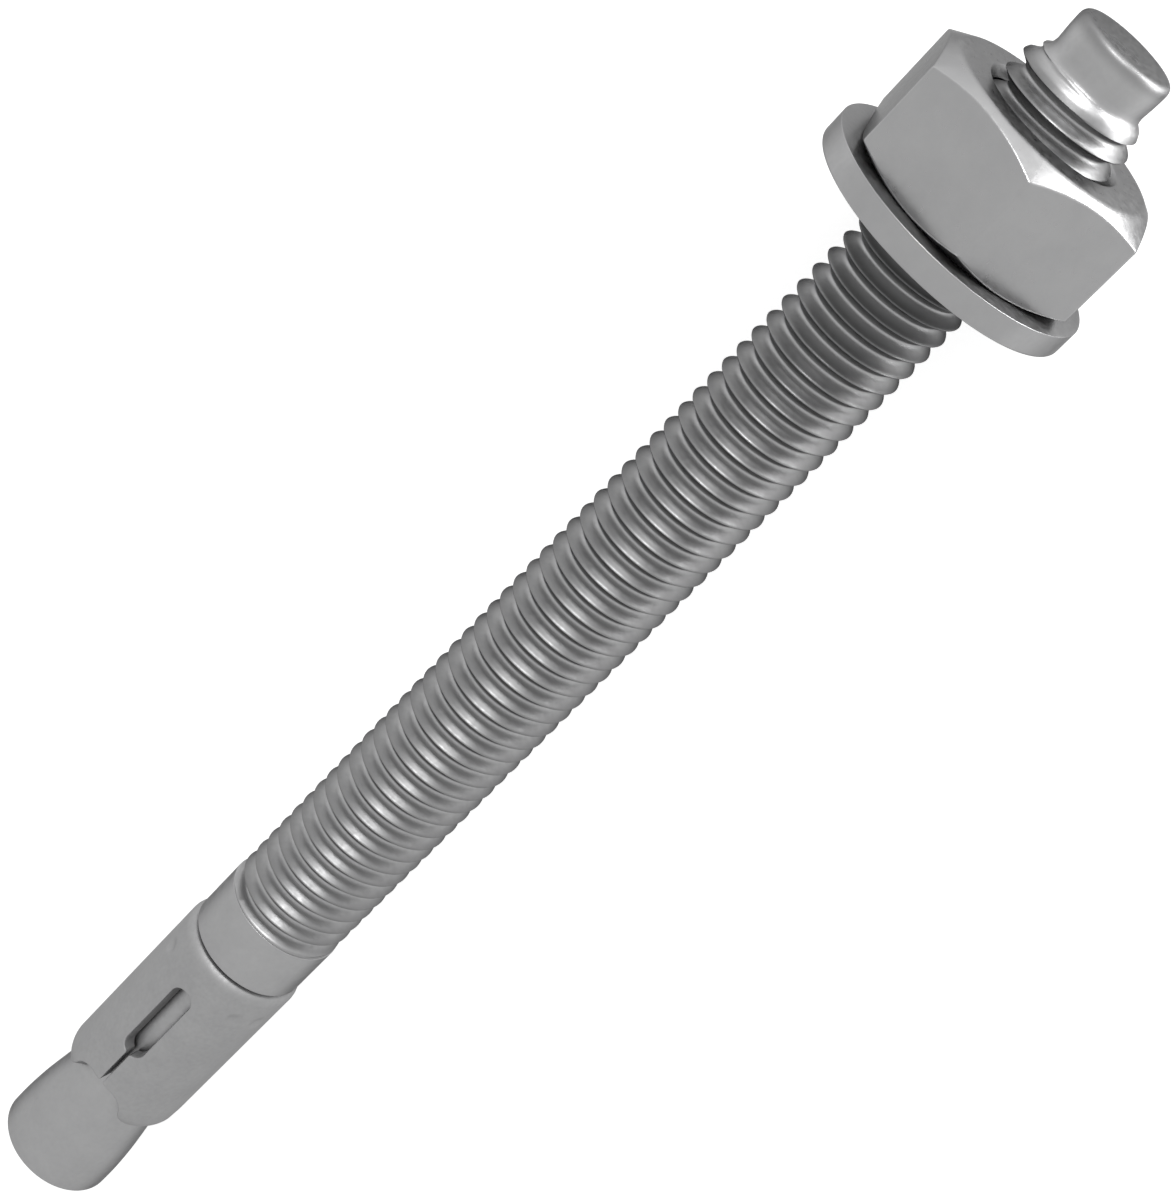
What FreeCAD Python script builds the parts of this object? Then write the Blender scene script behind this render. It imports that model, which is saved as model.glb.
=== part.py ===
"""A half-inch wedge anchor: a stud with an expander cone, a slotted expansion clip round its neck,
and a flat washer and hex nut near its tip. Millimetres and degrees.

Every piece is drawn along its own Z axis, measured from the stud's lower end, and is then laid
down as the anchor comes to rest: on the washer's rim and the rim of the stud's lower end.
"""

import FreeCAD, Part
import os
import Sketcher

doc = FreeCAD.newDocument("WedgeAnchor")

# The driving dimensions: name, value and meaning
SIZES = [
    ("anchor_length", 158.75, "stud, from its lower end to its tip"),
    ("land_diameter", 12.6, "widest part of the cone, at the lower end"),
    ("land_length", 4.0, "straight part below the cone"),
    ("end_chamfer", 0.15, "broken edge of the lower end"),
    ("land_blend_reach", 1.6, "how far the rounding from land to cone runs each way"),
    ("neck_diameter", 9.6, "neck that the clip turns on"),
    ("neck_blend_reach", 2.5, "how far the rounding from cone to neck runs each way"),
    ("neck_length", 19.8, "neck, from the cone up to the collar"),
    ("collar_height", 35.8, "collar's underside above the lower end"),
    ("collar_diameter", 12.6, "plain collar above the clip"),
    ("collar_length", 6.4, "collar, up to the thread"),
    ("thread_diameter", 12.4, "thread over its crests"),
    ("tip_diameter", 9.6, "plain tip that takes the hammer blows"),
    ("tip_length", 4.0, "plain tip beyond the thread's end bevel"),
    ("tip_bevel_length", 2.0, "bevel that ends the thread"),
    ("tip_chamfer", 0.6, "broken edge of the tip's face"),
    ("stud_turn", 4.1, "where the stud has turned to"),
    ("clip_thickness", 1.6, "sheet of the clip"),
    ("clip_length", 23.4, "clip, from its top edge to the finger tips"),
    ("clip_bore_clearance", 0.25, "between neck and clip, all round"),
    ("clip_end_play", 0.3, "between clip and collar"),
    ("clip_top_round", 1.1, "rounded outer edge at the clip's top"),
    ("cone_clearance", 0.1, "between cone and fingers"),
    ("finger_nose_radius", 2.7, "rounded outer edge at the finger tips"),
    ("finger_tip_thickness", 0.66, "edge left at the finger tips"),
    ("finger_tip_width", 0.5, "flat at the end of each finger"),
    ("notch_depth", 3.2, "notch between two finger tips"),
    ("notch_top_width", 2.4, "notch where the slit opens into it"),
    ("slot_width", 2.6, "wide part of each keyhole slot"),
    ("slot_length", 10.6, "wide part of each keyhole slot"),
    ("slot_top_margin", 4.5, "solid band above the slots"),
    ("slit_width", 0.45, "narrow slit from slot to finger ends"),
    ("dimple_diameter", 1.8, "round dimples between the slots"),
    ("dimple_depth", 0.25, "how deep the dimples are pressed"),
    ("dimple_angle", 47.0, "dimple to the nearest slot, round the clip"),
    ("dimple_drop", 3.8, "dimples below the clip's top edge"),
    ("clip_turn", -40.0, "where the clip has turned to on the neck"),
    ("washer_drop", 21.85, "washer's underside below the stud's tip"),
    ("washer_diameter", 26.5, "washer's rim"),
    ("washer_thickness", 2.5, "washer's sheet"),
    ("washer_bore_clearance", 0.55, "between thread and washer, all round"),
    ("washer_chamfer", 0.3, "broken edge of the washer's rim"),
    ("washer_turn", -10.9, "where the washer has turned to"),
    ("nut_width", 22.0, "nut across its flats"),
    ("nut_thickness", 10.8, "nut, face to face"),
    ("nut_base_inset", 0.3, "bevel on the underside, in from the flats"),
    ("nut_face_inset", 1.0, "bevel on the top, in from the flats"),
    ("nut_bevel_angle", 30.0, "slope of the bevelled corners"),
    ("nut_thread_clearance", 0.05, "between thread crests and nut"),
    ("nut_countersink", 0.6, "countersunk ends of the nut's bore"),
    ("nut_turn", 8.0, "where the nut has turned to"),
]

dims = doc.addObject("Spreadsheet::Sheet", "dims")
for row, (alias, number, meaning) in enumerate(SIZES, start=1):
    dims.set(f"A{row}", alias)
    dims.set(f"B{row}", str(number))
    dims.setAlias(f"B{row}", alias)
    dims.set(f"C{row}", meaning)
doc.recompute()

# Heights and radii that follow from the driving dimensions
CONE_TOP = "(dims.collar_height - dims.neck_length)"
CONE_LENGTH = f"({CONE_TOP} - dims.land_length)"
CONE_SLOPE = f"((dims.land_diameter - dims.neck_diameter) / 2 / {CONE_LENGTH})"
CONE_ANGLE = f"atan({CONE_SLOPE})"
THREAD_START = "(dims.collar_height + dims.collar_length)"
TIP_START = "(dims.anchor_length - dims.tip_length)"
THREAD_END = f"({TIP_START} - dims.tip_bevel_length)"

CLIP_TOP = "(dims.collar_height - dims.clip_end_play)"
CLIP_TIP = f"({CLIP_TOP} - dims.clip_length)"
CLIP_BORE = "(dims.neck_diameter / 2 + dims.clip_bore_clearance)"
CLIP_OUTSIDE = f"({CLIP_BORE} + dims.clip_thickness)"
FLARE_AT_LAND = "(dims.land_diameter / 2 + dims.cone_clearance)"
FLARE_AT_TIP = f"({FLARE_AT_LAND} - ({CLIP_TIP} - dims.land_length) * {CONE_SLOPE})"
FLARE_TOP = f"(dims.land_length + ({FLARE_AT_LAND} - {CLIP_BORE}) / {CONE_SLOPE})"
NOSE_INSET = f"({CLIP_OUTSIDE} - {FLARE_AT_TIP} - dims.finger_tip_thickness)"
NOSE_RISE = f"sqrt(2 * dims.finger_nose_radius * {NOSE_INSET} - {NOSE_INSET} ^ 2)"

SLOT_HALF = "(dims.slot_width / 2)"
SLIT_HALF = "(dims.slit_width / 2)"
SLOT_TOP = f"({CLIP_TOP} - dims.slot_top_margin - {SLOT_HALF})"
SLOT_FOOT = f"({CLIP_TOP} - dims.slot_top_margin - dims.slot_length + {SLOT_HALF})"
SLIT_TOP = f"({SLOT_FOOT} - sqrt({SLOT_HALF} ^ 2 - {SLIT_HALF} ^ 2))"
NOTCH_TOP = f"({CLIP_TIP} + dims.notch_depth)"
NOTCH_INNER = "(dims.notch_top_width / 2)"
NOTCH_OUTER = f"({CLIP_OUTSIDE} * sin(60) - dims.finger_tip_width / 2)"
NOTCH_RUN = f"({NOTCH_OUTER} - {NOTCH_INNER})"
NOTCH_BEND = f"(({NOTCH_RUN} ^ 2 + dims.notch_depth ^ 2) / 4 / dims.notch_depth)"
BELOW_CLIP = f"({CLIP_TIP} - dims.clip_thickness)"

WASHER_FOOT = "(dims.anchor_length - dims.washer_drop)"
WASHER_TOP = f"({WASHER_FOOT} + dims.washer_thickness)"
NUT_TOP = f"({WASHER_TOP} + dims.nut_thickness)"
NUT_CORNER = "(dims.nut_width / 2 / cos(30))"
NUT_BORE = "(dims.thread_diameter / 2 + dims.nut_thread_clearance)"


def origin_plane(body, role):
    """One of the body's own origin planes."""
    return next(plane for plane in body.Origin.OriginFeatures if plane.Role == role)


def origin_axis(body):
    """The body's own Z axis."""
    return next(axis for axis in body.Origin.OriginFeatures if axis.Role == "Z_Axis")


def new_body(name):
    """An empty body whose label names its file."""
    body = doc.addObject("PartDesign::Body", name)
    body.Label = name
    return body


def new_sketch(body, name, role):
    """An empty sketch on one of the body's origin planes."""
    sketch = body.newObject("Sketcher::SketchObject", name)
    sketch.AttachmentSupport = [(origin_plane(body, role), "")]
    sketch.MapMode = "FlatFace"
    return sketch


def tie(sketch, kind, axis, geometry, end, expression):
    """Bind one coordinate of a point, measured from the sketch's origin, to an expression."""
    distance = float(sketch.evalExpression(expression))
    if abs(distance) < 1e-7:
        sketch.addConstraint(Sketcher.Constraint("PointOnObject", geometry, end, axis))
    elif distance > 0:
        index = sketch.addConstraint(Sketcher.Constraint(kind, -1, 1, geometry, end, distance))
        sketch.setExpression(f"Constraints[{index}]", expression)
    else:
        index = sketch.addConstraint(Sketcher.Constraint(kind, geometry, end, -1, 1, -distance))
        sketch.setExpression(f"Constraints[{index}]", f"-({expression})")


def tie_across(sketch, geometry, end, expression):
    """Bind a point's distance from the sketch's vertical axis."""
    tie(sketch, "DistanceX", -2, geometry, end, expression)


def tie_up(sketch, geometry, end, expression):
    """Bind a point's height over the sketch's horizontal axis."""
    tie(sketch, "DistanceY", -1, geometry, end, expression)


def outline(sketch, corners, arcs=None):
    """Draw a closed outline through corners given as pairs of expressions.

    arcs holds, for each side that is round, the number of the corner it leaves from, with the
    two expressions of its centre and True where it runs anticlockwise.
    """
    arcs = arcs or {}
    up = FreeCAD.Vector(0, 0, 1)
    points = []
    for across, height in corners:
        x = float(sketch.evalExpression(across))
        y = float(sketch.evalExpression(height))
        points.append(FreeCAD.Vector(x, y, 0))
    ends = []
    for side, start in enumerate(points):
        finish = points[(side + 1) % len(points)]
        if side not in arcs:
            sketch.addGeometry(Part.LineSegment(start, finish))
            ends.append((1, 2))
            continue
        across, height, anticlockwise = arcs[side]
        x = float(sketch.evalExpression(across))
        y = float(sketch.evalExpression(height))
        centre = FreeCAD.Vector(x, y, 0)
        circle = Part.Circle(centre, up, centre.distanceToPoint(start))
        first, last = (start, finish) if anticlockwise else (finish, start)
        sketch.addGeometry(Part.ArcOfCircle(circle, circle.parameter(first), circle.parameter(last)))
        ends.append((1, 2) if anticlockwise else (2, 1))
    for side, (across, height) in enumerate(corners):
        before = side - 1 if side else len(corners) - 1
        joint = Sketcher.Constraint("Coincident", before, ends[before][1], side, ends[side][0])
        sketch.addConstraint(joint)
        tie_across(sketch, side, ends[side][0], across)
        tie_up(sketch, side, ends[side][0], height)
    for side, (across, height, anticlockwise) in arcs.items():
        tie_up(sketch, side, 3, height)


def revolve(body, name, sketch, angle=360):
    """Turn a sketch about the Z axis, half of the angle to each side of its plane."""
    turned = body.newObject("PartDesign::Revolution", name)
    turned.Profile = sketch
    turned.ReferenceAxis = (sketch, ["V_Axis"])
    turned.Angle = angle
    turned.Midplane = angle < 360
    sketch.Visibility = False
    doc.recompute()
    return turned


def cut_through(body, name, sketch):
    """Cut a sketch through the body on the side its pocket points to."""
    before = body.Shape.Volume
    pocket = body.newObject("PartDesign::Pocket", name)
    pocket.Profile = sketch
    pocket.Type = "ThroughAll"
    sketch.Visibility = False
    doc.recompute()
    if pocket.Shape.Volume > before - 1:
        raise RuntimeError(f"{name} cuts nothing")
    return pocket


def rim(feature, radius, height):
    """Name of the round edge of a feature that has this radius and height, both expressions."""
    radius = float(feature.evalExpression(radius))
    height = float(feature.evalExpression(height))
    for number, edge in enumerate(feature.Shape.Edges, start=1):
        if not isinstance(edge.Curve, Part.Circle):
            continue
        if abs(edge.Curve.Radius - radius) + abs(edge.Curve.Center.z - height) < 1e-4:
            return f"Edge{number}"
    raise RuntimeError(f"{feature.Label} has no edge of radius {radius} at {height}")


def break_rims(body, name, rims, width):
    """Chamfer circular edges, given as pairs of radius and height."""
    chamfer = body.newObject("PartDesign::Chamfer", name)
    base = chamfer.BaseFeature
    chamfer.Base = (base, [rim(base, radius, height) for radius, height in rims])
    chamfer.setExpression("Size", width)
    doc.recompute()
    return chamfer


def anchor_stud():
    """The stud, turned from end to end: land, expander cone, neck, collar, shank and tip."""
    body = new_body("anchor_stud")
    profile = new_sketch(body, "stud_profile", "XZ_Plane")
    land = "dims.land_diameter / 2"
    neck = "dims.neck_diameter / 2"
    collar = "dims.collar_diameter / 2"
    thread = "dims.thread_diameter / 2"
    tip = "dims.tip_diameter / 2"
    land_end = "dims.land_length - dims.land_blend_reach"
    neck_start = f"{CONE_TOP} + dims.neck_blend_reach"
    outline(
        profile,
        [
            ("0", "0"),
            (land, "0"),
            (land, land_end),
            (
                f"{land} - dims.land_blend_reach * sin({CONE_ANGLE})",
                f"dims.land_length + dims.land_blend_reach * cos({CONE_ANGLE})",
            ),
            (
                f"{neck} + dims.neck_blend_reach * sin({CONE_ANGLE})",
                f"{CONE_TOP} - dims.neck_blend_reach * cos({CONE_ANGLE})",
            ),
            (neck, neck_start),
            (neck, "dims.collar_height"),
            (collar, "dims.collar_height"),
            (collar, THREAD_START),
            (thread, THREAD_START),
            (thread, THREAD_END),
            (tip, TIP_START),
            (tip, "dims.anchor_length"),
            ("0", "dims.anchor_length"),
        ],
        {
            2: (f"{land} - dims.land_blend_reach / tan({CONE_ANGLE} / 2)", land_end, True),
            4: (f"{neck} + dims.neck_blend_reach / tan({CONE_ANGLE} / 2)", neck_start, False),
        },
    )
    revolve(body, "stud_turned", profile)
    break_rims(body, "tip_edge", [(tip, "dims.anchor_length")], "dims.tip_chamfer")
    break_rims(body, "end_edge", [(land, "0")], "dims.end_chamfer")
    return body


def clip_profile(body):
    """Section through the clip's wall, flared inside at its foot to ride the cone."""
    profile = new_sketch(body, "clip_profile", "YZ_Plane")
    nose_top = f"{CLIP_TIP} + {NOSE_RISE}"
    crown = f"{CLIP_TOP} - dims.clip_top_round"
    outline(
        profile,
        [
            (FLARE_AT_TIP, CLIP_TIP),
            (f"{FLARE_AT_TIP} + dims.finger_tip_thickness", CLIP_TIP),
            (CLIP_OUTSIDE, nose_top),
            (CLIP_OUTSIDE, crown),
            (f"{CLIP_OUTSIDE} - dims.clip_top_round", CLIP_TOP),
            (CLIP_BORE, CLIP_TOP),
            (CLIP_BORE, FLARE_TOP),
        ],
        {
            1: (f"{CLIP_OUTSIDE} - dims.finger_nose_radius", nose_top, True),
            3: (f"{CLIP_OUTSIDE} - dims.clip_top_round", crown, True),
        },
    )
    return profile


def finger_ends(body):
    """The notch between two fingers: each side sweeps from its top to a finger tip in two arcs."""
    sketch = new_sketch(body, "finger_ends", "XZ_Plane")
    half_way = f"({NOTCH_INNER} + {NOTCH_RUN} / 2)"
    half_down = f"({NOTCH_TOP} - dims.notch_depth / 2)"
    hollow = f"({NOTCH_TOP} - {NOTCH_BEND})"
    swell = f"({CLIP_TIP} + {NOTCH_BEND})"
    outline(
        sketch,
        [
            (NOTCH_INNER, NOTCH_TOP),
            (half_way, half_down),
            (NOTCH_OUTER, CLIP_TIP),
            (NOTCH_OUTER, BELOW_CLIP),
            (f"-{NOTCH_OUTER}", BELOW_CLIP),
            (f"-{NOTCH_OUTER}", CLIP_TIP),
            (f"-{half_way}", half_down),
            (f"-{NOTCH_INNER}", NOTCH_TOP),
        ],
        {
            0: (NOTCH_INNER, hollow, False),
            1: (NOTCH_OUTER, swell, True),
            5: (f"-{NOTCH_OUTER}", swell, True),
            6: (f"-{NOTCH_INNER}", hollow, False),
        },
    )
    return sketch


def keyhole_slot(body):
    """The keyhole: a wide round-ended slot, and a narrow slit from it down to the finger ends."""
    sketch = new_sketch(body, "keyhole_slot", "XZ_Plane")
    outline(
        sketch,
        [
            (SLOT_HALF, SLOT_FOOT),
            (SLOT_HALF, SLOT_TOP),
            (f"-{SLOT_HALF}", SLOT_TOP),
            (f"-{SLOT_HALF}", SLOT_FOOT),
            (f"-{SLIT_HALF}", SLIT_TOP),
            (f"-{SLIT_HALF}", BELOW_CLIP),
            (SLIT_HALF, BELOW_CLIP),
            (SLIT_HALF, SLIT_TOP),
        ],
        {
            1: ("0", SLOT_TOP, True),
            3: ("0", SLOT_FOOT, True),
            7: ("0", SLOT_FOOT, True),
        },
    )
    return sketch


def press_dimple(body, name, side):
    """A shallow round dimple, a ball's print beside the slot. side is 1 or -1."""
    dimple = body.newObject("PartDesign::SubtractiveSphere", name)
    ball = "((dims.dimple_diameter ^ 2 / 4 + dims.dimple_depth ^ 2) / 2 / dims.dimple_depth)"
    reach = f"({CLIP_OUTSIDE} - dims.dimple_depth + {ball})"
    across = f"{side} * {reach} * sin(dims.dimple_angle)"
    outward = f"{reach} * cos(dims.dimple_angle)"
    height = f"{CLIP_TOP} - dims.dimple_drop"
    place = f"placement(vector({across}; {outward}; {height}); rotation(vector(0; 0; 1); 0))"
    dimple.AttachmentSupport = [(origin_plane(body, "XY_Plane"), "")]
    dimple.MapMode = "FlatFace"
    dimple.setExpression("Radius", ball)
    dimple.setExpression("AttachmentOffset", place)
    doc.recompute()


def expansion_clip():
    """The clip: one third with its slot in the middle, repeated three times round the axis."""
    body = new_body("expansion_clip")
    revolve(body, "clip_third", clip_profile(body), 120)
    cut_through(body, "finger_ends_cut", finger_ends(body))
    cut_through(body, "keyhole_cut", keyhole_slot(body))
    press_dimple(body, "dimple_right", 1)
    press_dimple(body, "dimple_left", -1)
    ring = body.newObject("PartDesign::PolarPattern", "clip_ring")
    ring.TransformMode = "Whole shape"
    ring.Axis = (origin_axis(body), [""])
    ring.Angle = 360
    ring.Occurrences = 3
    body.Tip = ring
    doc.recompute()
    return body


def flat_washer():
    """The washer, stamped from sheet, its rim edges broken."""
    body = new_body("flat_washer")
    profile = new_sketch(body, "washer_profile", "XZ_Plane")
    bore = "dims.thread_diameter / 2 + dims.washer_bore_clearance"
    outline(profile, [
        (bore, WASHER_FOOT),
        ("dims.washer_diameter / 2", WASHER_FOOT),
        ("dims.washer_diameter / 2", WASHER_TOP),
        (bore, WASHER_TOP),
    ])
    revolve(body, "washer_turned", profile)
    edge = "dims.washer_diameter / 2"
    break_rims(body, "washer_edges", [(edge, WASHER_FOOT), (edge, WASHER_TOP)],
               "dims.washer_chamfer")
    return body


def hex_nut():
    """The nut: a hexagonal blank, its corners bevelled at both faces, bored and countersunk."""
    body = new_body("hex_nut")
    blank = body.newObject("PartDesign::AdditivePrism", "nut_blank")
    blank.AttachmentSupport = [(origin_plane(body, "XY_Plane"), "")]
    blank.MapMode = "FlatFace"
    blank.Polygon = 6
    blank.setExpression("Circumradius", NUT_CORNER)
    blank.setExpression("Height", "dims.nut_thickness")
    lift = f"placement(vector(0; 0; {WASHER_TOP}); rotation(vector(0; 0; 1); 0))"
    blank.setExpression("AttachmentOffset", lift)
    doc.recompute()
    bevel_nut(body, "base_bevel", "(dims.nut_width / 2 - dims.nut_base_inset)", WASHER_TOP, "+")
    bevel_nut(body, "face_bevel", "(dims.nut_width / 2 - dims.nut_face_inset)", NUT_TOP, "-")
    bore = new_sketch(body, "nut_bore", "XY_Plane")
    circle = Part.Circle(FreeCAD.Vector(0, 0, 0), FreeCAD.Vector(0, 0, 1), 1)
    bore.addGeometry(circle)
    bore.addConstraint(Sketcher.Constraint("Coincident", 0, 3, -1, 1))
    bore.addConstraint(Sketcher.Constraint("Radius", 0, 1))
    bore.setExpression("Constraints[1]", NUT_BORE)
    before = body.Shape.Volume
    drilled = body.newObject("PartDesign::Pocket", "nut_drilled")
    drilled.Profile = bore
    drilled.Type = "ThroughAll"
    drilled.Reversed = True
    bore.Visibility = False
    doc.recompute()
    if drilled.Shape.Volume > before - 1:
        raise RuntimeError("the nut's bore cuts nothing")
    break_rims(body, "nut_countersinks", [(NUT_BORE, WASHER_TOP), (NUT_BORE, NUT_TOP)],
               "dims.nut_countersink")
    return body


def bevel_nut(body, name, flat_radius, face, way):
    """Cone the corners back from one face, outside its flat circle. way points into the nut."""
    sketch = new_sketch(body, f"{name}_profile", "XZ_Plane")
    beyond = f"({NUT_CORNER} + dims.nut_countersink)"
    depth = f"({beyond} - {flat_radius}) * tan(dims.nut_bevel_angle)"
    outline(sketch, [
        (flat_radius, face),
        (beyond, face),
        (beyond, f"{face} {way} {depth}"),
    ])
    before = body.Shape.Volume
    groove = body.newObject("PartDesign::Groove", name)
    groove.Profile = sketch
    groove.ReferenceAxis = (sketch, ["V_Axis"])
    groove.Angle = 360
    sketch.Visibility = False
    doc.recompute()
    if groove.Shape.Volume > before - 1:
        raise RuntimeError(f"{name} cuts nothing")


# The anchor at rest. It lies on two rims, the stud's lower end and the washer's underside, so its
# axis climbs toward the nut by the tilt.
TILT = (
    "atan((dims.washer_diameter - dims.land_diameter) / 2"
    f" / ({WASHER_FOOT} + dims.washer_chamfer - dims.end_chamfer))"
)
TIP_REACH = (
    f"dims.anchor_length * cos({TILT})"
    f" + (dims.tip_diameter / 2 - dims.tip_chamfer) * sin({TILT})"
)
END_REACH = f"(dims.land_diameter / 2 - dims.end_chamfer) * sin({TILT})"
ALONG = f"-({TIP_REACH} - {END_REACH}) / 2"
LIFT = f"dims.land_diameter / 2 * cos({TILT}) - dims.end_chamfer * sin({TILT})"
LAID = f"placement(vector({ALONG}; 0; {LIFT}); rotation(vector(0; 1; 0); 90 deg - {TILT}))"


def lay_down(body, turn):
    """Lay the body down with the others, turned about the anchor's axis first."""
    spin = f"placement(vector(0; 0; 0); rotation(vector(0; 0; 1); {turn}))"
    body.setExpression("Placement", f"{LAID} * {spin}")


stud = anchor_stud()
clip = expansion_clip()
washer = flat_washer()
nut = hex_nut()
lay_down(stud, "dims.stud_turn")
lay_down(clip, "dims.clip_turn")
lay_down(washer, "dims.washer_turn")
lay_down(nut, "dims.nut_turn")
doc.recompute()

for item in doc.Objects:
    if "Invalid" in item.State or "Error" in item.State:
        raise RuntimeError(f"{item.Label} failed: {item.State}")

os.makedirs("parts", exist_ok=True)
for body in (stud, clip, washer, nut):
    if body.Shape.isNull() or not body.Shape.isValid() or len(body.Shape.Solids) != 1:
        raise RuntimeError(f"{body.Label} is not one sound solid")
    body.Shape.exportStep(f"parts/{body.Label}.step")
    print(body.Label, round(body.Shape.Volume, 2), body.Shape.BoundBox)
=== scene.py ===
"""A half-inch wedge anchor of zinc-plated steel, lying on a pale floor: the threaded stud with its
expander cone, the slotted clip round its neck, the flat washer and the hex nut. Metres throughout.
"""

import bmesh
import bpy
import numpy as np
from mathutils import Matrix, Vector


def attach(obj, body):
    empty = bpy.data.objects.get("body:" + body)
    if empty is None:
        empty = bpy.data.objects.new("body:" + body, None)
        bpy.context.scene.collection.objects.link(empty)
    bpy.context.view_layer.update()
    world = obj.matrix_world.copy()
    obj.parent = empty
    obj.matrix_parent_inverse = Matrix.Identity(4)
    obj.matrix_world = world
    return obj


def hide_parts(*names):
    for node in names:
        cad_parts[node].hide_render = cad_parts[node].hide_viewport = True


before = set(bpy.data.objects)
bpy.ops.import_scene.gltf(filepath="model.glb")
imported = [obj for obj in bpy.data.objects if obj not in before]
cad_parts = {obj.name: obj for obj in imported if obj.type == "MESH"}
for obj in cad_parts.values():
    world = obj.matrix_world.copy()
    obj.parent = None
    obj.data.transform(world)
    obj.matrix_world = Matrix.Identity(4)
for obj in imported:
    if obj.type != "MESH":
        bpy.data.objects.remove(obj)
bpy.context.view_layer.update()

# The stud: one cold-formed and turned piece of carbon steel. The shank's thread is rolled, half an
# inch by 13 to the inch; the cone, neck and collar below it are left plain, and the tip is bare so
# that hammer blows spare the thread. Everything is zinc plated to a soft grey.
MILLIMETRE = 0.001
ANCHOR_LENGTH = 158.75
LAND_RADIUS = 6.3
LAND_END = 2.4
CONE_START = (6.101, 5.588)
CONE_END = (5.110, 13.519)
NECK_RADIUS = 4.8
NECK_START = 18.5
COLLAR_FOOT = 35.8
COLLAR_RADIUS = 6.3
THREAD_START = 42.2
THREAD_RADIUS = 6.2
THREAD_END = 152.75
LAST_RIDGE = 154.3
LAST_RIDGE_RADIUS = 5.38
TIP_START = 154.75
TIP_RADIUS = 4.8
WASHER_FOOT = 136.9
WASHER_RADIUS = 13.25
EDGE_BREAK = 0.15
RIM_BREAK = 0.3
TIP_BREAK = 0.6
WAIST_DEPTH = 0.14
WAIST_HEIGHT = 0.55
WAIST_END = 2.3
PITCH = 25.4 / 13
THREAD_DEPTH = 1.12
THREAD_FADE = 0.5
AROUND = 84

CLIMB = np.arctan((WASHER_RADIUS - LAND_RADIUS) / (WASHER_FOOT + RIM_BREAK - EDGE_BREAK))
AXIS = np.array((np.cos(CLIMB), 0.0, np.sin(CLIMB)))
DOWN = np.array((np.sin(CLIMB), 0.0, -np.cos(CLIMB)))
SIDE = np.array((0.0, 1.0, 0.0))
FAR_REACH = ANCHOR_LENGTH * np.cos(CLIMB) + (TIP_RADIUS - TIP_BREAK) * np.sin(CLIMB)
NEAR_REACH = (LAND_RADIUS - EDGE_BREAK) * np.sin(CLIMB)
END_CENTRE = np.array((
    (NEAR_REACH - FAR_REACH) / 2,
    0.0,
    LAND_RADIUS * np.cos(CLIMB) - EDGE_BREAK * np.sin(CLIMB),
))


def laid(radius, turn, height):
    """Points on the lying anchor, in metres: the centre of the stud's lower end, plus height along
    the axis, plus radius at the angle turn, which starts straight below and grows toward +Y."""
    radius, turn, height = np.broadcast_arrays(radius, turn, height)
    across = np.cos(turn)[..., None] * DOWN + np.sin(turn)[..., None] * SIDE
    return MILLIMETRE * (END_CENTRE + radius[..., None] * across + height[..., None] * AXIS)


def eased(profile, reach, steps=4):
    """Round a profile's inner corners: between two points reach away along both sides, the corner
    P becomes the parabola (1-t)^2 A + 2t(1-t) P + t^2 B. The last axis of profile is a point."""
    before, corner, after = profile[..., :-2, :], profile[..., 1:-1, :], profile[..., 2:, :]
    reach = np.broadcast_to(reach, corner.shape[:-1])[..., None]
    back, on = before - corner, after - corner
    back_length = np.linalg.norm(back, axis=-1, keepdims=True)
    on_length = np.linalg.norm(on, axis=-1, keepdims=True)
    start = corner + back * np.minimum(reach / back_length, 0.49)
    end = corner + on * np.minimum(reach / on_length, 0.49)
    t = np.linspace(0.0, 1.0, steps + 1)[:, None]
    start, corner, end = (part[..., None, :] for part in (start, corner, end))
    curve = (1 - t) ** 2 * start + 2 * t * (1 - t) * corner + t**2 * end
    curve = curve.reshape(profile.shape[:-2] + (-1, 2))
    return np.concatenate((profile[..., :1, :], curve, profile[..., -1:, :]), axis=-2)


def grid_faces(rows, columns, first=0, inward=False):
    """Four-sided faces of a grid of points numbered row by row from first."""
    corner = first + np.arange(rows - 1)[:, None] * columns + np.arange(columns - 1)
    faces = np.stack((corner, corner + 1, corner + columns + 1, corner + columns), axis=-1)
    faces = faces.reshape(-1, 4)
    return faces[:, ::-1] if inward else faces


def shell(name, grids, body, material, crease=38.0):
    """One closed piece from several grids of points, given as (points, inward), merged where they
    meet. Sides that come out without length vanish; edges sharper than crease stay crisp."""
    points, faces, first = [], [], 0
    for grid, inward in grids:
        rows, columns = grid.shape[:2]
        points.append(grid.reshape(-1, 3))
        faces.append(grid_faces(rows, columns, first, inward))
        first += rows * columns
    mesh = bpy.data.meshes.new(name)
    mesh.from_pydata(np.concatenate(points), [], np.concatenate(faces).tolist())
    made = bmesh.new()
    made.from_mesh(mesh)
    bmesh.ops.remove_doubles(made, verts=made.verts, dist=1.5e-6)
    bmesh.ops.dissolve_degenerate(made, edges=made.edges, dist=1e-7)
    made.to_mesh(mesh)
    made.free()
    mesh.polygons.foreach_set("use_smooth", np.ones(len(mesh.polygons), dtype=bool))
    mesh.set_sharp_from_angle(angle=np.radians(crease))
    mesh.materials.append(material)
    piece = bpy.data.objects.new(name, mesh)
    bpy.context.scene.collection.objects.link(piece)
    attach(piece, body)
    return piece


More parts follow.
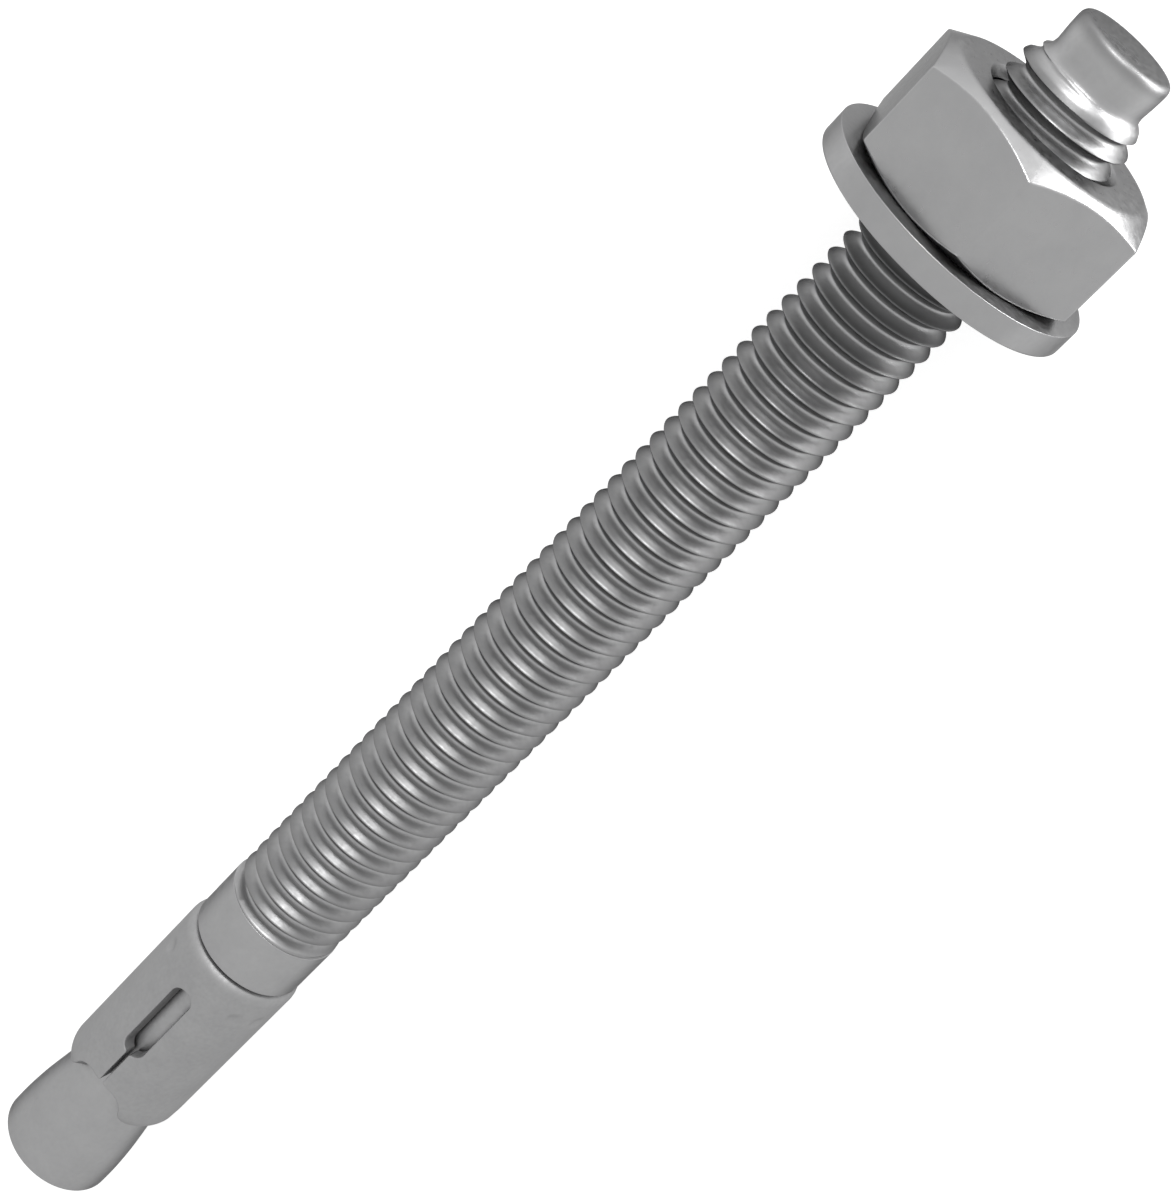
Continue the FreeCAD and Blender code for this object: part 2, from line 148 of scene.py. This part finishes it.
def zinc_plate(name, light, dark, rim, gloss, spangle, marks):
    """Dull zinc plate. Cloudy patches a few millimetres wide shift the grey between dark and light,
    a finer grain shifts the gloss, and faint marks along or round the piece roughen it. rim is the
    share that is left where the surface turns edge-on, and marks the stretch of the marks: along
    the axis, across it, across it. Places are measured from the centre of the stud's lower end."""
    material = bpy.data.materials.new(name)
    material.use_nodes = True
    nodes, links = material.node_tree.nodes, material.node_tree.links
    surface = nodes["Principled BSDF"]
    surface.inputs["Metallic"].default_value = 1.0
    surface.inputs["Specular Tint"].default_value = (rim, rim, rim, 1.0)
    place = nodes.new("ShaderNodeTexCoord")
    moved = nodes.new("ShaderNodeVectorMath")
    moved.operation = "SUBTRACT"
    moved.inputs[1].default_value = MILLIMETRE * END_CENTRE
    links.new(place.outputs["Object"], moved.inputs[0])
    turned = nodes.new("ShaderNodeMapping")
    turned.name = "along_axis"
    turned.inputs["Rotation"].default_value = (0.0, float(CLIMB), 0.0)
    links.new(moved.outputs["Vector"], turned.inputs["Vector"])

    cloud = nodes.new("ShaderNodeTexNoise")
    cloud.inputs["Scale"].default_value = spangle
    cloud.inputs["Detail"].default_value = 5.0
    cloud.inputs["Roughness"].default_value = 0.62
    links.new(turned.outputs["Vector"], cloud.inputs["Vector"])
    grey = nodes.new("ShaderNodeValToRGB")
    grey.color_ramp.elements[0].position = 0.32
    grey.color_ramp.elements[0].color = (dark, dark, dark * 1.01, 1.0)
    grey.color_ramp.elements[1].position = 0.68
    grey.color_ramp.elements[1].color = (light, light, light * 1.005, 1.0)
    links.new(cloud.outputs["Fac"], grey.inputs["Fac"])
    links.new(grey.outputs["Color"], surface.inputs["Base Color"])

    grain = nodes.new("ShaderNodeTexNoise")
    grain.inputs["Scale"].default_value = spangle * 7.0
    grain.inputs["Detail"].default_value = 3.0
    links.new(turned.outputs["Vector"], grain.inputs["Vector"])
    dull = nodes.new("ShaderNodeMapRange")
    dull.inputs["From Min"].default_value = 0.3
    dull.inputs["From Max"].default_value = 0.7
    dull.inputs["To Min"].default_value = gloss - 0.05
    dull.inputs["To Max"].default_value = gloss + 0.06
    links.new(grain.outputs["Fac"], dull.inputs["Value"])
    links.new(dull.outputs["Result"], surface.inputs["Roughness"])

    drawn = nodes.new("ShaderNodeMapping")
    drawn.inputs["Scale"].default_value = marks
    links.new(turned.outputs["Vector"], drawn.inputs["Vector"])
    streak = nodes.new("ShaderNodeTexNoise")
    streak.inputs["Scale"].default_value = 1.0
    streak.inputs["Detail"].default_value = 4.0
    links.new(drawn.outputs["Vector"], streak.inputs["Vector"])
    relief = nodes.new("ShaderNodeMath")
    relief.operation = "ADD"
    links.new(streak.outputs["Fac"], relief.inputs[0])
    links.new(grain.outputs["Fac"], relief.inputs[1])
    bump = nodes.new("ShaderNodeBump")
    bump.inputs["Strength"].default_value = 0.25
    bump.inputs["Distance"].default_value = 0.00003
    links.new(relief.outputs["Value"], bump.inputs["Height"])
    links.new(bump.outputs["Normal"], surface.inputs["Normal"])
    return material


def turned_grid(profile, turns):
    """A profile of (radius, height) points carried round the axis to each angle in turns."""
    return laid(profile[:, 0][:, None], turns, profile[:, 1][:, None])


def plain_end():
    """The stud below the thread, from the middle of its lower face: radius against height."""
    corners = np.array((
        (0.0, 0.0),
        (LAND_RADIUS, 0.0),
        (LAND_RADIUS, LAND_END),
        CONE_START,
        CONE_END,
        (NECK_RADIUS, NECK_START),
        (NECK_RADIUS, COLLAR_FOOT),
        (COLLAR_RADIUS, COLLAR_FOOT),
        (COLLAR_RADIUS, THREAD_START - 0.02),
        (THREAD_RADIUS, THREAD_START),
    ))
    reach = np.array((EDGE_BREAK, 1.4, 1.4, 2.2, 2.2, 0.3, 0.2, 0.05))
    return eased(corners, reach, 6)


def thread(turns):
    """The rolled thread. Rows climb one pitch for each turn; across one pitch the radius falls from
    the crest by THREAD_DEPTH times a V with a rounded foot and top. It deepens from nothing over
    its first half millimetre, and toward the tip a bevel, steeper past the last ridge, cuts it."""
    along = np.array((0.0, 0.05, 0.10, 0.15, 0.20, 0.34, 0.39, 0.43, 0.465,
                      0.5, 0.535, 0.57, 0.61, 0.66, 0.80, 0.85, 0.90, 0.95))
    depth = np.array((1.0, 0.98, 0.925, 0.84, 0.73, 0.35, 0.21, 0.11, 0.035,
                      0.0, 0.035, 0.11, 0.21, 0.35, 0.73, 0.84, 0.925, 0.98))
    loops = int(np.ceil((TIP_START - THREAD_START) / PITCH)) + 1
    step = (np.arange(loops)[:, None] + along).ravel()
    deep = np.tile(depth, loops)
    height = THREAD_START + PITCH * (step[:, None] - 1.0 + turns / (2 * np.pi))
    height = np.clip(height, THREAD_START, TIP_START)
    fade = np.clip((height - THREAD_START) / THREAD_FADE, 0.0, 1.0)
    radius = THREAD_RADIUS - THREAD_DEPTH * deep[:, None] * fade * fade * (3 - 2 * fade)
    bevel = np.interp(
        height,
        (THREAD_END, LAST_RIDGE, TIP_START),
        (THREAD_RADIUS, LAST_RIDGE_RADIUS, TIP_RADIUS),
    )
    return laid(np.minimum(radius, bevel), turns, height)


def bare_tip():
    """The tip beyond the thread: radius against height, a slight waist above the thread and the
    edge rounded by the blows."""
    corners = np.array((
        (TIP_RADIUS, TIP_START),
        (TIP_RADIUS - WAIST_DEPTH, TIP_START + WAIST_HEIGHT),
        (TIP_RADIUS, TIP_START + WAIST_END),
        (TIP_RADIUS, ANCHOR_LENGTH),
        (0.0, ANCHOR_LENGTH),
    ))
    return eased(corners, np.array((0.3, 0.8, 0.85)), 8)


def painted_thread_shade(material, crest, root):
    """Painted shading on the thread. Between the thread's two ends the plate's colour is multiplied
    by a share that runs from root, at the bottom of the grooves, to crest; a crest share below the
    root's paints shade on the crests and leaves the shaded grooves lighter."""
    nodes, links = material.node_tree.nodes, material.node_tree.links
    apart = nodes.new("ShaderNodeSeparateXYZ")
    links.new(nodes["along_axis"].outputs["Vector"], apart.inputs["Vector"])
    across = nodes.new("ShaderNodeCombineXYZ")
    links.new(apart.outputs["Y"], across.inputs["Y"])
    links.new(apart.outputs["Z"], across.inputs["Z"])
    radius = nodes.new("ShaderNodeVectorMath")
    radius.operation = "LENGTH"
    links.new(across.outputs["Vector"], radius.inputs[0])

    def ramp(source, first, last, low, high):
        """A smooth step from low to high as source goes from first to last millimetres."""
        step = nodes.new("ShaderNodeMapRange")
        step.interpolation_type = "SMOOTHSTEP"
        step.inputs["From Min"].default_value = MILLIMETRE * first
        step.inputs["From Max"].default_value = MILLIMETRE * last
        step.inputs["To Min"].default_value = low
        step.inputs["To Max"].default_value = high
        links.new(source, step.inputs["Value"])
        return step.outputs["Result"]

    begins = ramp(apart.outputs["X"], THREAD_START - 0.1, THREAD_START + 0.8, 0.0, 1.0)
    ends = ramp(apart.outputs["X"], TIP_START - 1.2, TIP_START, 1.0, 0.0)
    depth = ramp(radius.outputs["Value"], THREAD_RADIUS - THREAD_DEPTH, THREAD_RADIUS, root, crest)
    both = nodes.new("ShaderNodeMath")
    both.operation = "MULTIPLY"
    links.new(begins, both.inputs[0])
    links.new(ends, both.inputs[1])
    share = nodes.new("ShaderNodeMix")
    share.data_type = "FLOAT"
    share.inputs[2].default_value = 1.0
    links.new(both.outputs["Value"], share.inputs[0])
    links.new(depth, share.inputs[3])
    colour = nodes["Principled BSDF"].inputs["Base Color"]
    shaded_colour = nodes.new("ShaderNodeVectorMath")
    shaded_colour.operation = "SCALE"
    links.new(colour.links[0].from_socket, shaded_colour.inputs[0])
    links.new(share.outputs[0], shaded_colour.inputs["Scale"])
    links.new(shaded_colour.outputs["Vector"], colour)


def dulled_and_shaded_tip(material, reach, extra, share):
    """The tip's end, scuffed dull by hammer blows: over its last reach millimetres extra is added
    to the roughness. There the colour also falls to share of what it was, a painted shade that
    dims the lamps' reflection on the end."""
    nodes, links = material.node_tree.nodes, material.node_tree.links
    apart = nodes.new("ShaderNodeSeparateXYZ")
    links.new(nodes["along_axis"].outputs["Vector"], apart.inputs["Vector"])
    surface = nodes["Principled BSDF"]
    for socket, operation, start, end in (
        ("Roughness", "ADD", 0.0, extra),
        ("Base Color", "MULTIPLY", 1.0, share),
    ):
        toward_end = nodes.new("ShaderNodeMapRange")
        toward_end.interpolation_type = "SMOOTHSTEP"
        toward_end.inputs["From Min"].default_value = MILLIMETRE * (ANCHOR_LENGTH - reach)
        toward_end.inputs["From Max"].default_value = MILLIMETRE * (ANCHOR_LENGTH - reach / 8)
        toward_end.inputs["To Min"].default_value = start
        toward_end.inputs["To Max"].default_value = end
        links.new(apart.outputs["X"], toward_end.inputs["Value"])
        mixed = nodes.new("ShaderNodeVectorMath")
        mixed.operation = operation
        links.new(surface.inputs[socket].links[0].from_socket, mixed.inputs[0])
        links.new(toward_end.outputs["Result"], mixed.inputs[1])
        links.new(mixed.outputs["Vector"], surface.inputs[socket])


stud_turns = np.linspace(0.0, 2 * np.pi, AROUND + 1)
stud_zinc = zinc_plate("stud_zinc", 0.365, 0.34, 0.12, 0.42, 260.0, (900.0, 60.0, 60.0))
# Painted shading: the thread's colour is darkened toward its crests and kept full in its grooves.
painted_thread_shade(stud_zinc, 0.54, 1.0)
# Painted shade: the colour darkens over the tip's last 1.6 mm, where the hammer blows also dull it.
dulled_and_shaded_tip(stud_zinc, 1.6, 0.06, 0.64)
stud = shell(
    "threaded_stud",
    [
        (turned_grid(plain_end(), stud_turns), True),
        (thread(stud_turns), True),
        (turned_grid(bare_tip(), stud_turns), True),
    ],
    "stud",
    stud_zinc,
)
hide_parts("anchor_stud")

# The expansion clip: a strip of sheet steel, blanked with three keyhole slots and rolled into a
# sleeve round the neck. Driven into the hole and drawn back by the nut, its three round-ended
# fingers ride up the cone and grip. It is one strip, 1.6 mm thick, with rolled edges.
CLIP_TURN = np.radians(-40.0)
CLIP_TOP = 35.5
CLIP_TIP = 12.1
CLIP_BORE = 5.05
BORE_ROUND = 0.2
CLIP_OUTSIDE = 6.65
CROWN_ROUND = 1.1
NOSE_ROUND = 2.7
NOSE_TOP = 13.79
FLARE_START = 4.0
FLARE_CLEARANCE = 0.1
CONE_SLOPE = 0.125
NOTCH_TOP = 15.3
NOTCH_INNER = 1.2
NOTCH_OUTER = 5.509
SLIT_HALF = 0.225
SLIT_MOUTH = 0.25
SLOT_HALF = 1.3
SLOT_FOOT = 21.7
SLOT_TOP = 29.7
EDGE_ROUND = 0.14
DIMPLE_TURN = np.radians(47.0)
DIMPLE_HEIGHT = 31.7
DIMPLE_RADIUS = 0.9
DIMPLE_DEPTH = 0.25


def arc(centre, radius, first, last, count):
    """Points of an arc, count of them without its last, between two angles in degrees."""
    turn = np.radians(np.linspace(first, last, count, endpoint=False))
    return np.stack((centre[0] + radius * np.cos(turn), centre[1] + radius * np.sin(turn)), -1)


def run(first, last, count):
    """Points of a straight run, count of them without its last."""
    return np.linspace(first, last, count, endpoint=False)


def keyhole_edge():
    """Half of one cut edge, from the middle of a finger's tip up to the middle of the slot's top:
    distance from the slot's middle, measured round the clip, against height. Beside it stands the
    way across the half finger: where each point's line meets its middle or its top."""
    run_out = NOTCH_OUTER - NOTCH_INNER
    drop = NOTCH_TOP - CLIP_TIP
    bend = (run_out**2 + drop**2) / 4 / drop
    sweep = np.degrees(np.arcsin(run_out / 2 / bend))
    slit_top = SLOT_FOOT - np.sqrt(SLOT_HALF**2 - SLIT_HALF**2)
    foot_turn = np.degrees(np.arctan2(slit_top - SLOT_FOOT, SLIT_HALF))
    middle = CLIP_OUTSIDE * np.sin(np.pi / 3)
    parts = (
        run((middle, CLIP_TIP), (NOTCH_OUTER, CLIP_TIP), 2),
        arc((NOTCH_OUTER, CLIP_TIP + bend), bend, -90, -90 - sweep, 12),
        arc((NOTCH_INNER, NOTCH_TOP - bend), bend, 90 - sweep, 90, 12),
        run((NOTCH_INNER, NOTCH_TOP), (SLIT_HALF + SLIT_MOUTH, NOTCH_TOP), 4),
        arc((SLIT_HALF + SLIT_MOUTH, NOTCH_TOP + SLIT_MOUTH), SLIT_MOUTH, -90, -180, 5),
        run((SLIT_HALF, NOTCH_TOP + SLIT_MOUTH), (SLIT_HALF, slit_top - 0.15), 16),
        run((SLIT_HALF, slit_top - 0.15), (SLIT_HALF + 0.12, slit_top + 0.02), 3),
        arc((0.0, SLOT_FOOT), SLOT_HALF, foot_turn + 6, 0, 10),
        run((SLOT_HALF, SLOT_FOOT), (SLOT_HALF, SLOT_TOP), 22),
        arc((0.0, SLOT_TOP), SLOT_HALF, 0, 90, 30),
        np.array(((0.0, SLOT_TOP + SLOT_HALF),)),
    )
    edge = np.concatenate(parts)
    edge[:, 0] = CLIP_OUTSIDE * np.arcsin(edge[:, 0] / CLIP_OUTSIDE)
    half = CLIP_OUTSIDE * np.pi / 3
    crown = CLIP_TOP - CROWN_ROUND
    counts = [len(part) for part in parts]
    marks = np.cumsum([0] + counts)
    shoulder = marks[9] + 12
    heights = np.interp(
        np.arange(len(edge)),
        (0, marks[3], marks[5], marks[8], marks[9], shoulder),
        (CLIP_TIP + 0.3, NOTCH_TOP - 0.2, NOTCH_TOP + 1.2, SLOT_FOOT + 0.2, SLOT_TOP + 0.2, crown),
    )
    across = np.interp(np.arange(len(edge)), (shoulder, len(edge) - 1), (half, 0.0))
    return edge, np.stack((across, heights), -1), shoulder


def clip_outside(turn, height):
    """Outer radius: plain down to the fingers' noses, which round inward, less the two shallow
    dimples pressed beside each slot, each a bowl of depth times 1 - (distance / radius)^2."""
    below = np.clip(NOSE_TOP - height, 0.0, None)
    plain = CLIP_OUTSIDE - NOSE_ROUND + np.sqrt(NOSE_ROUND**2 - below**2)
    distance = np.hypot(CLIP_OUTSIDE * (turn - DIMPLE_TURN), height - DIMPLE_HEIGHT)
    return plain - DIMPLE_DEPTH * np.clip(1 - (distance / DIMPLE_RADIUS) ** 2, 0.0, None)


def clip_inside(height):
    """Bore radius: plain, and at the foot flared as the cone is, one in eight, and clear of it."""
    flare = LAND_RADIUS + FLARE_CLEARANCE - (height - FLARE_START) * CONE_SLOPE
    return np.maximum(CLIP_BORE, flare)


def clip_grids():
    """The half finger, mirrored and turned to all six places. Each line of its grid comes in from
    the middle of the finger over the outside, round the cut edge, and back along the bore."""
    edge, target, shoulder = keyhole_edge()
    tangent = np.gradient(edge, axis=0)
    tangent /= np.linalg.norm(tangent, axis=1, keepdims=True)
    into = np.stack((tangent[:, 1], -tangent[:, 0]), -1)
    into[0], into[-1] = (0.0, 1.0), (0.0, 1.0)
    share = np.linspace(1.0, 0.0, 30)[:, None, None]
    start = edge + into * EDGE_ROUND
    sheet = start + (target - start) * share
    outer_radius = clip_outside(sheet[..., 0] / CLIP_OUTSIDE, sheet[..., 1])
    inner_radius = clip_inside(sheet[..., 1])
    fillet = np.radians(np.linspace(67.5, 0.0, 4))[:, None]
    rounding = edge + into * EDGE_ROUND * (1 - np.cos(fillet))[..., None]
    wall_outer = clip_outside(rounding[..., 0] / CLIP_OUTSIDE, rounding[..., 1])
    wall_inner = clip_inside(rounding[..., 1])
    drop = EDGE_ROUND * (1 - np.sin(fillet))
    line = np.concatenate((sheet, rounding, rounding[::-1], sheet[::-1]))
    radius = np.concatenate((
        outer_radius,
        wall_outer - drop,
        (wall_inner + drop)[::-1],
        inner_radius[::-1],
    ))
    crown = CLIP_TOP - CROWN_ROUND
    bend = np.radians(np.linspace(0.0, 90.0, 9))
    crown_radius = CLIP_OUTSIDE - CROWN_ROUND * (1 - np.cos(bend))
    rim = np.concatenate((
        np.stack((crown_radius, crown + CROWN_ROUND * np.sin(bend)), -1),
        np.array(((CLIP_BORE + BORE_ROUND, CLIP_TOP),
                  (CLIP_BORE + 0.3 * BORE_ROUND, CLIP_TOP - 0.3 * BORE_ROUND),
                  (CLIP_BORE, CLIP_TOP - BORE_ROUND), (CLIP_BORE, crown))),
    ))
    rim_turn = target[shoulder:, 0] / CLIP_OUTSIDE
    grids = []
    for third in range(3):
        slot = CLIP_TURN + np.pi / 2 + third * 2 * np.pi / 3
        for side in (1, -1):
            turn = slot + side * line[..., 0] / CLIP_OUTSIDE
            grids.append((laid(radius, turn, line[..., 1]), side > 0))
            crest = laid(rim[:, 0][:, None], slot + side * rim_turn, rim[:, 1][:, None])
            grids.append((crest, side < 0))
    return grids


clip_zinc = zinc_plate("clip_zinc", 0.365, 0.34, 0.3, 0.6, 300.0, (60.0, 400.0, 400.0))
clip = shell("slotted_clip", clip_grids(), "clip", clip_zinc)
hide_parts("expansion_clip")

# The washer: blanked from 2.5 mm steel sheet. The punch leaves one edge rolled and the other a
# little sharper, and the bore runs free over the thread.
WASHER_BORE = 6.75
WASHER_TOP = 139.4
WASHER_SEAM = 138.0


def washer_section():
    """The washer's section, all the way round: radius against height."""
    corners = np.array((
        (WASHER_BORE, WASHER_SEAM),
        (WASHER_BORE, WASHER_FOOT),
        (WASHER_RADIUS, WASHER_FOOT),
        (WASHER_RADIUS, WASHER_TOP),
        (WASHER_BORE, WASHER_TOP),
        (WASHER_BORE, WASHER_SEAM),
    ))
    return eased(corners, np.array((0.25, RIM_BREAK, 0.08, 0.25)), 6)


washer_turns = np.linspace(0.0, 2 * np.pi, 161)
washer_zinc = zinc_plate("washer_zinc", 0.345, 0.32, 0.3, 0.36, 240.0, (80.0, 300.0, 300.0))
washer = shell(
    "stamped_washer",
    [(turned_grid(washer_section(), washer_turns), True)],
    "washer",
    washer_zinc,
)
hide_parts("flat_washer")

# The nut: cold-forged hexagon, 22 mm across its flats, its corners bevelled by turning at both
# faces, then tapped to run on the stud's thread.
NUT_TOP = 150.2
NUT_TURN = np.radians(8.0)
NUT_HALF = 11.0
NUT_CORNER_ROUND = 0.35
NUT_BASE = 10.7
NUT_FACE = 10.0
NUT_BORE = 6.3
NUT_SINK = 0.6
NUT_THREAD_INNER = 5.45


def hexagon(turn):
    """Distance to the hexagon's side: half width over cos(angle to the flat's middle), with the
    corner an arc of radius q about a centre at (half width - q) / cos 30."""
    off_corner = (turn + np.pi / 6) % (np.pi / 3) - np.pi / 6
    off_flat = np.pi / 6 - np.abs(off_corner)
    centre = (NUT_HALF - NUT_CORNER_ROUND) / np.cos(np.pi / 6)
    flat = NUT_HALF / np.cos(off_flat)
    inside = NUT_CORNER_ROUND**2 - (centre * np.sin(off_corner)) ** 2
    arc_radius = centre * np.cos(off_corner) + np.sqrt(np.clip(inside, 0.0, None))
    limit = np.arctan2(NUT_CORNER_ROUND * 0.5, centre + NUT_CORNER_ROUND * np.cos(np.pi / 6))
    return np.where(np.abs(off_corner) < limit, arc_radius, flat)


def nut_turns():
    """Angles round the nut, closer together at its six corners."""
    spread = np.concatenate((np.linspace(0.0, 0.03, 6), np.linspace(0.045, np.pi / 6, 10)))
    sector = np.concatenate((-spread[:0:-1], spread))[:-1]
    every = (np.arange(6)[:, None] * np.pi / 3 + sector).ravel()
    return np.append(every, every[0] + 2 * np.pi)


def nut_side(turns):
    """The nut's outside, from the bore's edge below to the one above: at each angle the 30-degree
    bevels meet the hexagon where their cone has its radius."""
    slope = np.tan(np.pi / 6)
    side = hexagon(turns)
    base = WASHER_TOP + (side - NUT_BASE) * slope
    face = NUT_TOP - (side - NUT_FACE) * slope
    flat = np.ones_like(side)
    corners = np.stack((
        np.stack((flat * NUT_BORE, flat * (WASHER_TOP + NUT_SINK)), -1),
        np.stack((flat * (NUT_BORE + NUT_SINK), flat * WASHER_TOP), -1),
        np.stack((flat * NUT_BASE, flat * WASHER_TOP), -1),
        np.stack((side, base), -1),
        np.stack((side, face), -1),
        np.stack((flat * NUT_FACE, flat * NUT_TOP), -1),
        np.stack((flat * (NUT_BORE + NUT_SINK), flat * NUT_TOP), -1),
        np.stack((flat * NUT_BORE, flat * (NUT_TOP - NUT_SINK)), -1),
    ), axis=-2)
    reach = np.array((0.1, 0.35, 0.2, 0.2, 0.35, 0.12))
    outline = eased(corners, reach, 4)
    return laid(outline[..., 0].T, NUT_TURN + turns, outline[..., 1].T)


def nut_thread(turns):
    """The tapped bore, the stud's thread in reverse: rows climb one pitch a turn, ridges stand
    where the stud has its grooves, and both ends run out into the countersinks."""
    along = np.array((0.0, 0.05, 0.09, 0.12, 0.37, 0.41, 0.46,
                      0.5, 0.54, 0.59, 0.63, 0.88, 0.91, 0.95))
    out = np.array((0.0, 0.0, 0.04, 0.12, 0.88, 0.97, 1.0,
                    1.0, 1.0, 0.97, 0.88, 0.12, 0.04, 0.0))
    low, high = WASHER_TOP + NUT_SINK, NUT_TOP - NUT_SINK
    before = np.floor((low - THREAD_START) / PITCH) - 1.0
    loops = int(np.ceil((high - low) / PITCH)) + 3
    step = (np.arange(loops)[:, None] + along).ravel() + before
    angle = NUT_TURN + turns
    height = THREAD_START + PITCH * (step[:, None] - 1.0 + angle / (2 * np.pi))
    height = np.clip(height, low, high)
    edge = np.minimum(height - low, high - height)
    radius = NUT_THREAD_INNER + (NUT_BORE - NUT_THREAD_INNER) * np.tile(out, loops)[:, None]
    return laid(np.maximum(radius, NUT_BORE - edge), angle, height)


around_nut = nut_turns()
nut_zinc = zinc_plate("nut_zinc", 0.345, 0.32, 0.3, 0.32, 230.0, (200.0, 200.0, 200.0))
nut = shell(
    "bevelled_nut",
    [(nut_side(around_nut), True), (nut_thread(around_nut), False)],
    "nut",
    nut_zinc,
)
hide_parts("hex_nut")

# The floor: one pale sheet that carries the anchor and its soft shadow. The camera and the steel
# see it near white.
FLOOR_HALF = 1.5
FLOOR_GREY = 0.8
floor_mesh = bpy.data.meshes.new("floor")
floor_mesh.from_pydata(
    [(-FLOOR_HALF, -FLOOR_HALF, 0.0), (FLOOR_HALF, -FLOOR_HALF, 0.0),
     (FLOOR_HALF, FLOOR_HALF, 0.0), (-FLOOR_HALF, FLOOR_HALF, 0.0)],
    [],
    [(0, 1, 2, 3)],
)
floor = bpy.data.objects.new("floor", floor_mesh)
bpy.context.scene.collection.objects.link(floor)
floor_paper = bpy.data.materials.new("floor_paper")
floor_paper.use_nodes = True
floor_nodes, floor_links = floor_paper.node_tree.nodes, floor_paper.node_tree.links
floor_surface = floor_nodes["Principled BSDF"]
floor_surface.inputs["Base Color"].default_value = (FLOOR_GREY, FLOOR_GREY, FLOOR_GREY, 1.0)
floor_surface.inputs["Roughness"].default_value = 0.9
floor_surface.inputs["Specular IOR Level"].default_value = 0.0


def seen_directly(nodes, links, low, high):
    """A strength that is high for rays from the camera or from gloss and glass, and low for the
    rays that light the object: low + (high - low) * (camera or glossy or transmission)."""
    path = nodes.new("ShaderNodeLightPath")
    seen = path.outputs["Is Camera Ray"]
    for other in ("Is Glossy Ray", "Is Transmission Ray"):
        either = nodes.new("ShaderNodeMath")
        either.operation = "MAXIMUM"
        links.new(seen, either.inputs[0])
        links.new(path.outputs[other], either.inputs[1])
        seen = either.outputs["Value"]
    strength = nodes.new("ShaderNodeMapRange")
    strength.inputs["To Min"].default_value = low
    strength.inputs["To Max"].default_value = high
    links.new(seen, strength.inputs["Value"])
    return strength.outputs["Result"]


floor_surface.inputs["Emission Color"].default_value = (1.0, 1.0, 1.0, 1.0)
floor_links.new(
    seen_directly(floor_nodes, floor_links, 0.0, 0.7),
    floor_surface.inputs["Emission Strength"],
)
floor_mesh.materials.append(floor_paper)

# The light: an even white studio all round, which leaves plain steel a flat grey, with a lamp
# beyond the nut that draws the bright lines on the thread, and a low one beside the nut that
# whitens the bevels turned to it.
world = bpy.data.worlds.new("studio")
bpy.context.scene.world = world
world.use_nodes = True
world_nodes, world_links = world.node_tree.nodes, world.node_tree.links
sky = world_nodes["Background"]
sky.inputs["Color"].default_value = (1.0, 1.0, 1.0, 1.0)
world_links.new(seen_directly(world_nodes, world_links, 0.55, 1.0), sky.inputs["Strength"])


def lamp(name, place, aim, size, power):
    """A soft square lamp at place, turned to aim."""
    light = bpy.data.lights.new(name, "AREA")
    light.size = size
    light.energy = power
    holder = bpy.data.objects.new(name, light)
    holder.location = place
    heading = Vector(aim) - Vector(place)
    holder.rotation_mode = "QUATERNION"
    holder.rotation_quaternion = heading.to_track_quat("-Z", "Y")
    holder.visible_camera = False
    bpy.context.scene.collection.objects.link(holder)


lamp("beyond_nut", (0.57, 0.05, 0.28), (0.0, 0.0, 0.0), 0.15, 2.3)
lamp("beside_nut", (0.128, -0.056, 0.002), (0.128, -0.056, 1.0), 0.07, 0.25)

# The camera looks down on the anchor, tipped so that its axis runs from lower left to upper right.
CREST_DIAMETER = 2 * THREAD_RADIUS
LOOK = 0.4747
ROLL = 0.79526
CAMERA_AWAY = 19.79 * CREST_DIAMETER
CAMERA_ALONG = 7.251 * CREST_DIAMETER
CAMERA_OFF = 0.00157 * CREST_DIAMETER
up_side = -DOWN
image_along = np.cos(LOOK) * AXIS - np.sin(LOOK) * up_side
ahead = -np.sin(LOOK) * AXIS - np.cos(LOOK) * up_side
image_right = np.cos(ROLL) * image_along - np.sin(ROLL) * SIDE
image_up = np.sin(ROLL) * image_along + np.cos(ROLL) * SIDE
eye = END_CENTRE + CAMERA_ALONG * AXIS - CAMERA_AWAY * ahead + CAMERA_OFF * SIDE
camera_data = bpy.data.cameras.new("camera")
camera_data.lens = 81.16
camera_data.sensor_width = 36.0
camera_data.clip_start = 0.01
camera_data.clip_end = 10.0
camera = bpy.data.objects.new("camera", camera_data)
turn = np.eye(4)
turn[:3, 0], turn[:3, 1], turn[:3, 2] = image_right, image_up, -ahead
turn[:3, 3] = MILLIMETRE * eye
camera.matrix_world = Matrix(turn.tolist())
bpy.context.scene.collection.objects.link(camera)
bpy.context.scene.camera = camera
bpy.context.scene.view_settings.view_transform = "Standard"
